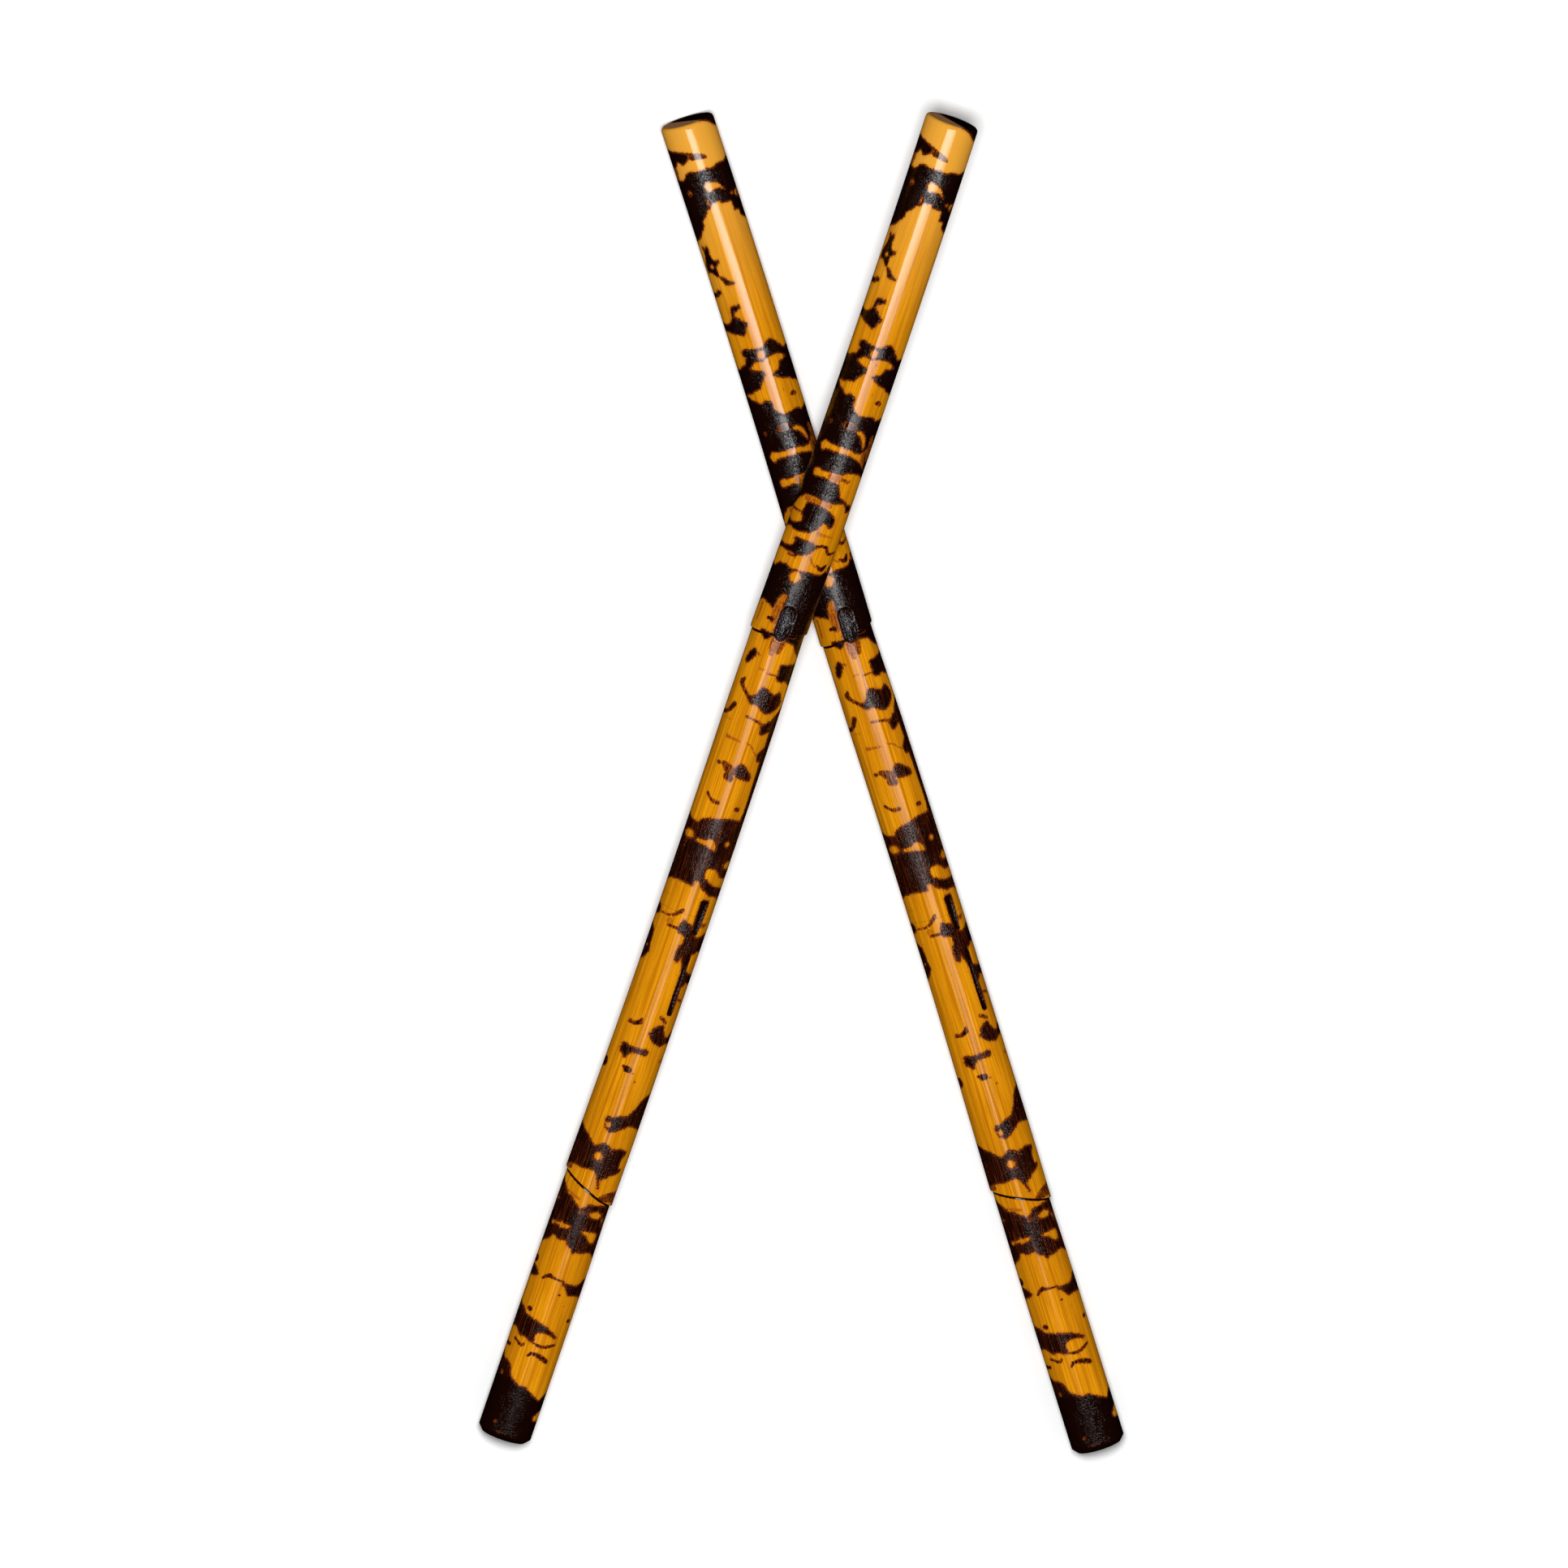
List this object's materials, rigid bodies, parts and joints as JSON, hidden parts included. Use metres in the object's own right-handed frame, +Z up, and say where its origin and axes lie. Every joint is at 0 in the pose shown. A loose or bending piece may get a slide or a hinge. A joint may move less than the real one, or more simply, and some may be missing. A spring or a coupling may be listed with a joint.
{
  "type": "pair of rattan sticks",
  "caption": "Long round rattan sticks with raised cane nodes and scorched mottling, lying crossed; one is struck on the other to beat time.",
  "frame": {"origin": "on the table, below the middle of the pair as it lies crossed", "axes": "+Z up; +Y from the grip ends to the tip ends, halving the angle of the cross; +X to the side where the upper stick's tip lies"},
  "size_m": [0.303, 0.6412, 0.064],
  "materials": {
    "scorched_rattan": "amber cane, scorched dark brown in a tortoiseshell pattern, under clear gloss lacquer"
  },
  "bodies": {
    "lower_stick": {"lower_stick": "scorched_rattan"},
    "upper_stick": {"upper_stick": "scorched_rattan"}
  },
  "joints": [
    {"name": "strike_swing", "type": "hinge", "parent": "lower_stick", "child": "upper_stick", "pos_m": [-0.1392, -0.30795, 0], "axis": [0.9527, -0.304, 0], "range_deg": [0, 60]}
  ]
}
